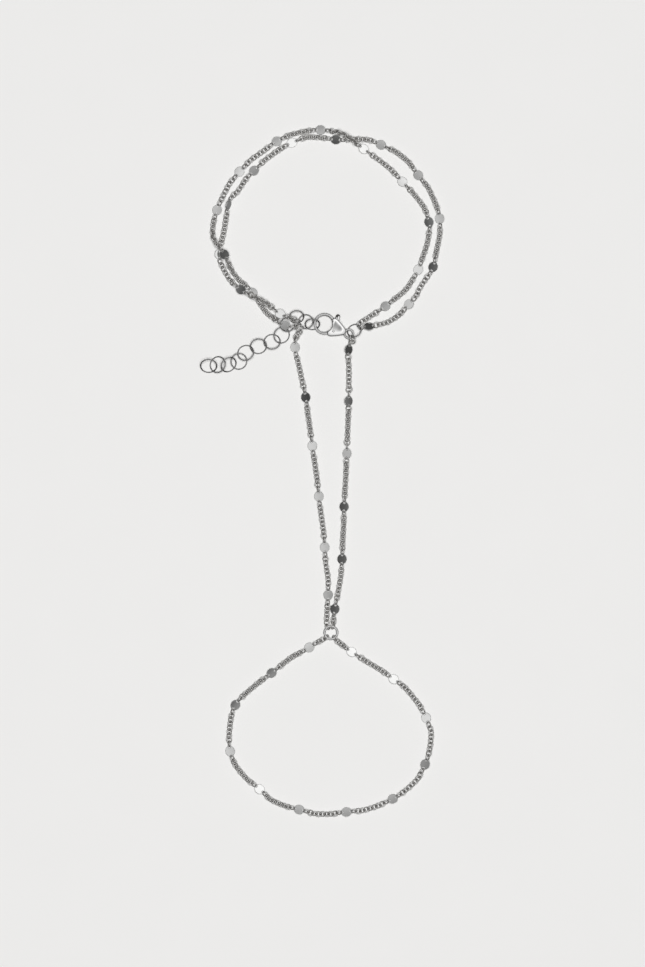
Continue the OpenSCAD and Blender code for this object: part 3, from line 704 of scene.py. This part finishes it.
clasp = {
    "eyeAt": (0.0077, 0.0399, 0.00135), "turn": 158,
    "eyeRadius": 0.00124, "eyeWire": 0.00031,
    "reach": 0.00765, "clawRadius": 0.00275,
    "bandWidth": 0.0004, "bandHeight": 0.0005,  # half sizes of the claw's section at its root
    "tipThin": 0.85,
    "root": -130, "tip": 102, "gateFrom": 86, "gateRoot": 128,  # degrees round the claw
    # along the shell: distance from the eye, half width, half height
    "shell": [(0.0008, 0.0003, 0.0003), (0.0012, 0.0008, 0.0006), (0.0017, 0.0011, 0.00082),
              (0.0022, 0.0014, 0.00094), (0.0036, 0.0022, 0.00105), (0.005, 0.00276, 0.00116),
              (0.0058, 0.0025, 0.00122), (0.0066, 0.001, 0.0004)],
    "crown": 0.5, "shellCrown": 0.3, "shellLean": 0.09,
    "pivot": (0.004437, 0.000995), "swing": 0.0034, "gap": 0.0001,
    "leverHalf": 0.00045, "boss": 0.00085, "nub": 0.00062, "nubAt": (0.00482, -0.00348),
    "slotFrom": 0.0026, "slotTo": 0.00566,
    # the rivet's rounded end, from its middle out: share of its radius and depth under its top
    "rivetHead": [(0, 0), (0.5, 0.00003), (0.8, 0.00008), (1, 0.00018)],
    # tarnish and painted shade, by how many half widths a corner lies off the wire's middle: growth and what
    # is taken off
    "tarnishAndShade": {"inside": (3, 0.9), "outside": (2.5, 1.25), "eye": (1.4, 0.4)},
    "bandSides": 32, "bandSteps": 48, "shellSides": 48, "shellSteps": 6, "drumSides": 64, "rivetSides": 32,
    "cutHeight": 0.004, "grain": 0.00005, "tumbling": 4,
}
claspPlace = Matrix.Translation(clasp["eyeAt"]) @ Matrix.Rotation(math.radians(clasp["turn"]), 4, "Z")


def band(name, stations, sides, crown, closed=False):
    # sweeps an oval, given by place, side, half width and half height; a crown under 1 flattens it
    points, faces = [], []
    for place, side, wide, high in stations:
        for k in range(sides):
            a = 2 * math.pi * k / sides
            rise = math.copysign(abs(math.sin(a))**crown, math.sin(a))
            points.append(Vector(place) + Vector(side) * wide * math.cos(a) + up * high * rise)
    count = len(stations)
    for i in range(count if closed else count - 1):
        for k in range(sides):
            a, b = i * sides + k, i * sides + (k + 1) % sides
            n = sides * count
            faces.append((a, (a + sides) % n, (b + sides) % n, b))
    if not closed:
        faces += [tuple(range(sides)), tuple(reversed(range((count - 1) * sides, count * sides)))]
    return meshObject(name, points, faces)


def arcBand(name, middle, radius, start, stop, wide, high, thin=1.0, crown=1.0):
    stations, steps = [], clasp["bandSteps"]
    for k in range(steps + 1):
        a = math.radians(start + (stop - start) * k / steps)
        way = Vector((math.cos(a), math.sin(a), 0))
        shrink = 1 + (thin - 1) * k / steps
        stations.append((Vector(middle).to_3d() + way * radius, way, wide * shrink, high * shrink))
    closed = abs(stop - start) >= 360
    return band(name, stations[:-1] if closed else stations, clasp["bandSides"], crown, closed)


def wrapped(name, balls, tall):  # hull round balls, each a place and a radius, as tall as asked
    mesh = bmesh.new()
    for (x, y), radius in balls:
        ball = bmesh.ops.create_icosphere(mesh, subdivisions=3, radius=radius)
        for corner in ball["verts"]:
            corner.co = Vector((corner.co.x + x, corner.co.y + y, corner.co.z * tall))
    bmesh.ops.delete(mesh, geom=mesh.edges[:] + mesh.faces[:], context="EDGES_FACES")
    bmesh.ops.convex_hull(mesh, input=mesh.verts)
    bmesh.ops.delete(mesh, geom=[corner for corner in mesh.verts if not corner.link_faces], context="VERTS")
    bmesh.ops.recalc_face_normals(mesh, faces=mesh.faces)
    return madeFrom(name, mesh)


def drum(name, middle, radius):
    mesh = bmesh.new()
    bmesh.ops.create_cone(mesh, segments=clasp["drumSides"], radius1=radius, radius2=radius,
                          depth=clasp["cutHeight"], cap_ends=True,
                          matrix=Matrix.Translation(Vector(middle).to_3d()))
    return madeFrom(name, mesh)


def block(name, low, high):
    mesh = bmesh.new()
    size = Vector(high) - Vector(low)
    bmesh.ops.create_cube(mesh, size=1, matrix=Matrix.Translation((Vector(low) + Vector(high)) / 2)
                          @ Matrix.Diagonal((*size, 1)))
    return madeFrom(name, mesh)


def cutBy(piece, tools, way="DIFFERENCE"):
    for tool in tools:
        modifier = piece.modifiers.new("cut", "BOOLEAN")
        modifier.operation, modifier.object, modifier.solver = way, tool, "EXACT"
    made = settled(piece.name + "Cut", piece)
    for tool in tools:
        bpy.data.objects.remove(tool)
    return made


def fused(name, parts):  # melts solids into one cast piece and tumbles its edges
    mesh = bmesh.new()
    for part in parts:
        mesh.from_mesh(part.data)
        bpy.data.objects.remove(part)
    joined = madeFrom(name, mesh)
    melt = joined.modifiers.new("melt", "REMESH")
    melt.mode, melt.voxel_size, melt.use_smooth_shade = "VOXEL", clasp["grain"], True
    tumble = joined.modifiers.new("tumble", "SMOOTH")
    tumble.factor, tumble.iterations = 0.5, clasp["tumbling"]
    return joined


def tarnishAndShadeSides(made):
    # tarnish where the polishing wheel doesn't reach, and painted shade as dark outlines, on the claw's sides
    # and inside the eye
    dark = made.data.attributes.new("crevice", "FLOAT", "POINT")
    for corner, mark in zip(made.data.vertices, dark.data):
        x, y, _ = corner.co
        inClaw = (clasp["clawRadius"] - math.hypot(x - clasp["reach"], y)) / clasp["bandWidth"]
        onArc = clasp["root"] < math.degrees(math.atan2(y, x - clasp["reach"])) < clasp["tip"]
        depths = {"inside": inClaw, "outside": -inClaw if onArc else 0,
                  "eye": (clasp["eyeRadius"] - math.hypot(x, y)) / clasp["eyeWire"]}
        mark.value = min(1, max(0, *(clasp["tarnishAndShade"][side][0] * depth - clasp["tarnishAndShade"][side][1]
                                     for side, depth in depths.items())))


def setClasp(piece, body, node):
    made = settled(node + "_cast", piece)
    made.data.materials.clear()
    made.data.materials.append(claspSilver)
    # darkens the claw's sides and the inside of the eye with tarnish and painted shade
    tarnishAndShadeSides(made)
    made.data.transform(claspPlace)
    dress(made, body, node)


def claspBody():
    far, tall = 2 * clasp["reach"], clasp["cutHeight"]
    clawMiddle = (clasp["reach"], 0)
    half = clasp["leverHalf"] + clasp["gap"]
    swell = Vector((0, 1, 1)).normalized()
    rows = smoothPath([Vector(row) for row in clasp["shell"]], swell, -swell, clasp["shellSteps"])
    across = (0, 1, -clasp["shellLean"])
    shell = band("shell", [((x, 0, 0), across, wide, high) for x, wide, high in rows],
                 clasp["shellSides"], clasp["shellCrown"])
    shell = cutBy(shell, [
        drum("eyeHole", (0, 0), clasp["eyeRadius"]),
        drum("clawHole", clawMiddle, clasp["clawRadius"] - clasp["bandWidth"]),
        block("slot", (clasp["slotFrom"], -far, -half), (clasp["slotTo"], far, half)),
        block("gateSlot", (clasp["slotFrom"], 0, -half), (far, far, half))])
    eye = arcBand("eye", (0, 0), clasp["eyeRadius"], 0, 360, clasp["eyeWire"], clasp["eyeWire"])
    claw = arcBand("claw", clawMiddle, clasp["clawRadius"], clasp["root"], clasp["tip"],
                   clasp["bandWidth"], clasp["bandHeight"], clasp["tipThin"], crown=clasp["crown"])
    ahead = block("ahead", (*clasp["pivot"], -tall), (far, far, tall))
    swept = cutBy(drum("swept", clasp["pivot"], clasp["swing"] + clasp["gap"]), [ahead], "INTERSECT")
    claw = cutBy(claw, [swept])
    setClasp(fused("claspBody", [shell, eye, claw]), "bracelet", "clasp_body")


def claspLever():
    clawMiddle = (clasp["reach"], 0)
    gate = arcBand("gate", clawMiddle, clasp["clawRadius"], clasp["gateFrom"], clasp["gateRoot"],
                   clasp["bandWidth"], clasp["leverHalf"], crown=clasp["crown"])
    gate = cutBy(gate, [drum("swing", clasp["pivot"], clasp["swing"])], "INTERSECT")
    a = math.radians(clasp["gateRoot"])
    gateEnd = (clasp["reach"] + clasp["clawRadius"] * math.cos(a), clasp["clawRadius"] * math.sin(a))
    flatness = clasp["leverHalf"] / clasp["boss"]
    arms = [wrapped("arm", [(clasp["pivot"], clasp["boss"]), (end, radius)], flatness)
            for end, radius in ((gateEnd, clasp["bandWidth"]), (clasp["nubAt"], clasp["nub"]))]
    setClasp(fused("claspLever", [gate] + arms), "lever", "clasp_lever")


def claspRivet():
    lowest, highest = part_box("clasp_rivet")
    low, high = lowest.z - clasp["eyeAt"][2], highest.z - clasp["eyeAt"][2]
    radius = (highest.x - lowest.x) / 2
    head, sides = clasp["rivetHead"], clasp["rivetSides"]
    profile = [(share * radius, low + depth) for share, depth in head]
    profile += [(share * radius, high - depth) for share, depth in reversed(head)]
    angles = [2 * math.pi * k / sides for k in range(sides)]
    points = [(reach * math.cos(a), reach * math.sin(a), z) for reach, z in profile[1:-1] for a in angles]
    points += [(0, 0, low), (0, 0, high)]
    bottom, top, last = len(points) - 2, len(points) - 1, len(points) - 2 - sides
    faces = []
    for k in range(sides):
        ahead = (k + 1) % sides
        faces += [(bottom, ahead, k), (top, last + k, last + ahead)]
        for row in range(0, last, sides):
            faces.append((row + k, row + ahead, row + sides + ahead, row + sides + k))
    rivet = meshObject("rivet", points, faces)
    rivet.data.shade_smooth()
    rivet.data.transform(Matrix.Translation(Vector(clasp["pivot"]).to_3d()))
    setClasp(rivet, "bracelet", "clasp_rivet")


claspBody()
claspLever()
claspRivet()
print("clasp made")


# Pale table and a soft studio sky: dark overhead, bright all round, dark again low down

studio = {
    "table": (0.86, 0.855, 0.845, 1), "tableHalf": 1.5, "tableMottle": 0.985,
    "backdrop": (0.83, 0.82, 0.81, 1),
    # degrees from overhead, and how bright the sky is there
    "sky": [(0, 0.03), (6, 0.08), (7.5, 0.14), (8.8, 0.3), (12, 0.46), (15.5, 0.82), (18, 1.05), (22, 1.16),
            (30, 1.05), (36, 0.82), (52, 0.74), (58, 0.5), (64, 0.13), (70, 0.06), (90, 0.1), (120, 0.22),
            (180, 0.3)],
    "strength": 1.0,
    "brightSide": (0.985, 0.174, 0), "dimmer": 0.68,  # the sky falls off to this share on its far side
    "lightSize": 1.2, "lightHeight": 2.4, "lightPower": 59.5,
}


def addTable():
    half = studio["tableHalf"]
    table = meshObject("table", [(-half, -half, 0), (half, -half, 0), (half, half, 0), (-half, half, 0)],
                       [(0, 1, 2, 3)])
    finish = bpy.data.materials.new("table")
    finish.use_nodes = True
    tree = finish.node_tree
    board = tree.nodes["Principled BSDF"]
    board.inputs["Roughness"].default_value = 0.9
    board.inputs["Specular IOR Level"].default_value = 0.1
    place = addNode(tree, "ShaderNodeTexCoord").outputs["Object"]
    tooth = addNode(tree, "ShaderNodeTexNoise", {"Vector": place, "Scale": 60, "Detail": 4})
    shade = addNode(tree, "ShaderNodeMix", {"Factor": tooth.outputs["Fac"]}, data_type="RGBA")
    shade.inputs[6].default_value = studio["table"]
    shade.inputs[7].default_value = [studio["tableMottle"] * c for c in studio["table"][:3]] + [1]
    tree.links.new(shade.outputs[2], board.inputs["Base Color"])
    table.data.materials.append(finish)
    table.visible_glossy = False  # so that steep sides stay dark, as against a dark card


def addTableLight():  # lights the table from above and stays out of the metal
    light = bpy.data.lights.new("tableLight", "AREA")
    light.shape, light.size, light.energy = "DISK", studio["lightSize"], studio["lightPower"]
    lamp = bpy.data.objects.new("tableLight", light)
    lamp.location = (*photo["middle"], studio["lightHeight"])
    lamp.visible_glossy = False
    lamp.visible_camera = False
    bpy.context.scene.collection.objects.link(lamp)


def addSky():
    world = bpy.data.worlds.new("studioSky")
    world.use_nodes = True
    bpy.context.scene.world = world
    world.cycles_visibility.diffuse = False  # the table light alone lights the table
    tree = world.node_tree
    tree.nodes.clear()
    way = addNode(tree, "ShaderNodeTexCoord").outputs["Generated"]
    height = addNode(tree, "ShaderNodeSeparateXYZ", {"Vector": way})
    fromTop = addNode(tree, "ShaderNodeMath", {0: height.outputs["Z"]}, operation="ARCCOSINE")
    share = addNode(tree, "ShaderNodeMath", {0: fromTop.outputs["Value"], 1: math.pi}, operation="DIVIDE")
    shades = addNode(tree, "ShaderNodeValToRGB", {"Fac": share.outputs["Value"]})
    ramp = shades.color_ramp
    ramp.interpolation = "LINEAR"
    while len(ramp.elements) < len(studio["sky"]):
        ramp.elements.new(0.5)
    for stop, (degrees, bright) in zip(ramp.elements, studio["sky"]):
        stop.position = degrees / 180
        stop.color = (bright, bright, bright, 1)
    level = addNode(tree, "ShaderNodeVectorMath", {0: way, 1: (1, 1, 0)}, operation="MULTIPLY")
    level = addNode(tree, "ShaderNodeVectorMath", {0: level.outputs["Vector"]}, operation="NORMALIZE")
    facing = addNode(tree, "ShaderNodeVectorMath", {0: level.outputs["Vector"], 1: studio["brightSide"]},
                     operation="DOT_PRODUCT")
    falloff = addNode(tree, "ShaderNodeMapRange", {"Value": facing.outputs["Value"], "From Min": -1,
                                                   "To Min": studio["dimmer"] * studio["strength"],
                                                   "To Max": studio["strength"]})
    sky = addNode(tree, "ShaderNodeBackground",
                  {"Color": shades.outputs["Color"], "Strength": falloff.outputs["Result"]})
    plain = addNode(tree, "ShaderNodeBackground", {"Color": studio["backdrop"]})
    seen = addNode(tree, "ShaderNodeLightPath").outputs["Is Camera Ray"]
    mixed = addNode(tree, "ShaderNodeMixShader", {0: seen, 1: sky.outputs[0], 2: plain.outputs[0]})
    addNode(tree, "ShaderNodeOutputWorld", {"Surface": mixed.outputs[0]})


addTable()
addTableLight()
addSky()
bpy.context.scene.view_settings.view_transform = "Standard"
print("studio made")
